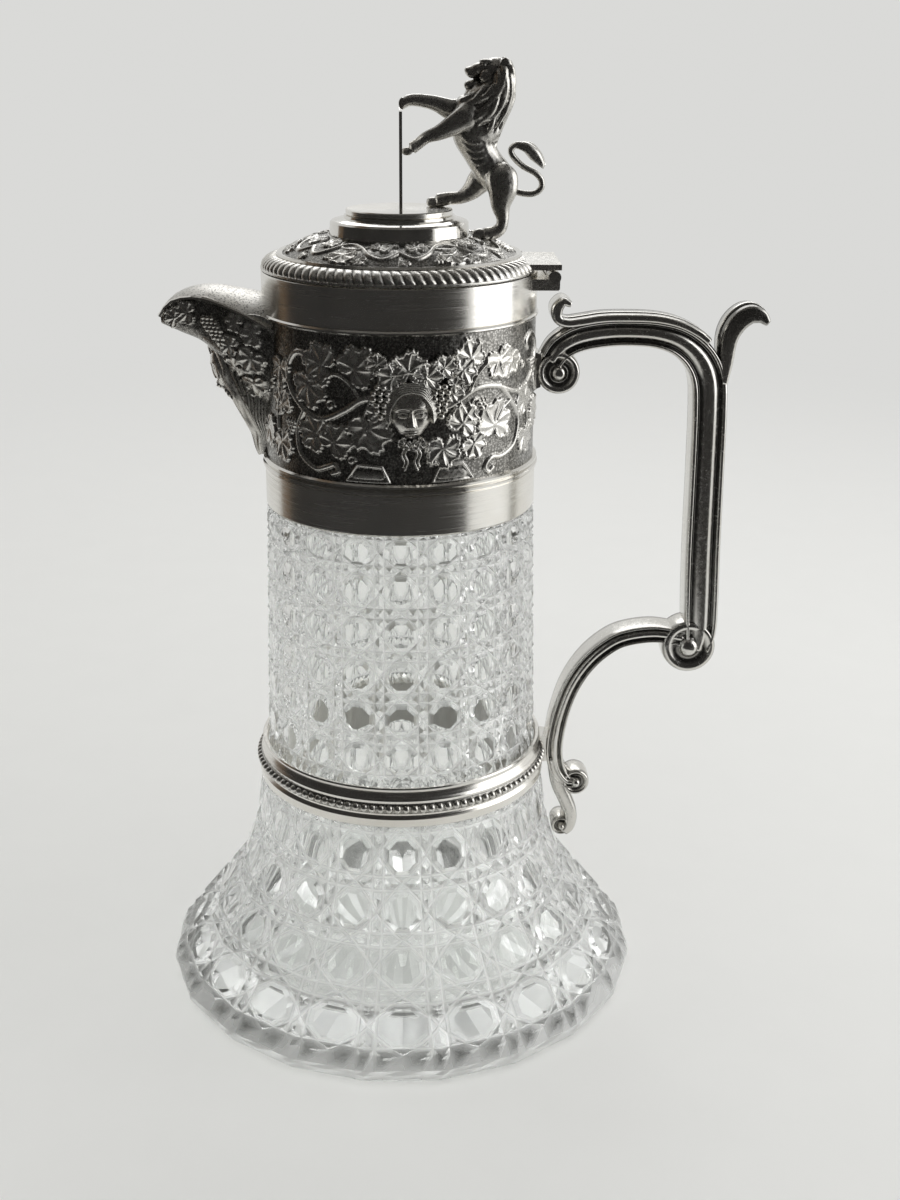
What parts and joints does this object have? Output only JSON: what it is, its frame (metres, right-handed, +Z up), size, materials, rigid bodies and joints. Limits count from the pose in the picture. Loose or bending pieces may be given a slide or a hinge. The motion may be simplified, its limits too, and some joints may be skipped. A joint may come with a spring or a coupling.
{
  "type": "claret jug",
  "caption": "Claret jug: cut glass vessel with a silver collar, hooded spout and scroll handle, and a hinged lid crowned by a lion holding a plain shield.",
  "frame": {"origin": "on the jug's axis, at the plane it stands on", "axes": "+Z up along the axis; -X towards the spout, +X towards the hinge and handle; +Y to the far side, so the handle and spout lie in the XZ plane"},
  "size_m": [0.1918, 0.1572, 0.2999],
  "materials": {
    "cut_glass": "clear lead crystal, polished mitre cuts",
    "silver_polished": "polished silver",
    "silver_brushed": "plain silver with fine turning lines round the axis",
    "silver_plain": "plain silver, unpolished inner and hinge faces",
    "silver_matted": "silver with a fine matted ground",
    "silver_handle": "polished cast silver with darker channels",
    "silver_oxidised": "cast and chased silver, bright reliefs and dark oxidised recesses",
    "brass_nut": "plain turned brass",
    "bedding_plaster": "set plaster between glass and mounts"
  },
  "bodies": {
    "jug": {"glass_body": "cut_glass", "collar_bedding": "bedding_plaster", "waist_bedding": "bedding_plaster", "collar_sleeve": "silver_plain", "collar_lower_band": "silver_brushed", "collar_astragal": "silver_polished", "collar_frieze_band": "silver_oxidised", "frieze_top_wire": "silver_polished", "collar_top_band": "silver_brushed", "frieze_mask_near": "silver_oxidised", "frieze_mask_far": "silver_oxidised", "spout_trough": "silver_oxidised", "spout_hood": "silver_matted", "spout_rim_wire": "silver_polished", "spout_mask": "silver_oxidised", "waist_band": "silver_brushed", "waist_upper_wire": "silver_polished", "waist_beading": "silver_oxidised", "handle_collar_plate": "silver_polished", "handle_main_scroll": "silver_handle", "handle_top_rail": "silver_handle", "handle_thumb_spur": "silver_handle", "handle_waist_plate": "silver_polished", "handle_lower_scroll": "silver_handle", "handle_tail_scroll": "silver_handle", "hinge_collar_leaf": "silver_plain", "hinge_pin": "silver_polished"},
    "lid": {"hinge_lid_leaf": "silver_plain", "lid_dome": "silver_oxidised", "lid_gadroon_rim": "silver_oxidised", "lid_inner_wire": "silver_polished", "lid_bezel": "silver_plain", "lid_plinth": "silver_polished", "plinth_disc": "silver_brushed", "finial_nut": "brass_nut", "shield": "silver_polished", "lion_figure": "silver_oxidised", "lion_tail": "silver_oxidised"}
  },
  "joints": [
    {"name": "lid_hinge", "type": "hinge", "parent": "jug", "child": "lid", "pos_m": [0.046, 0, 0.2378], "axis": [0, 1, 0], "range_deg": [0, 95]}
  ]
}
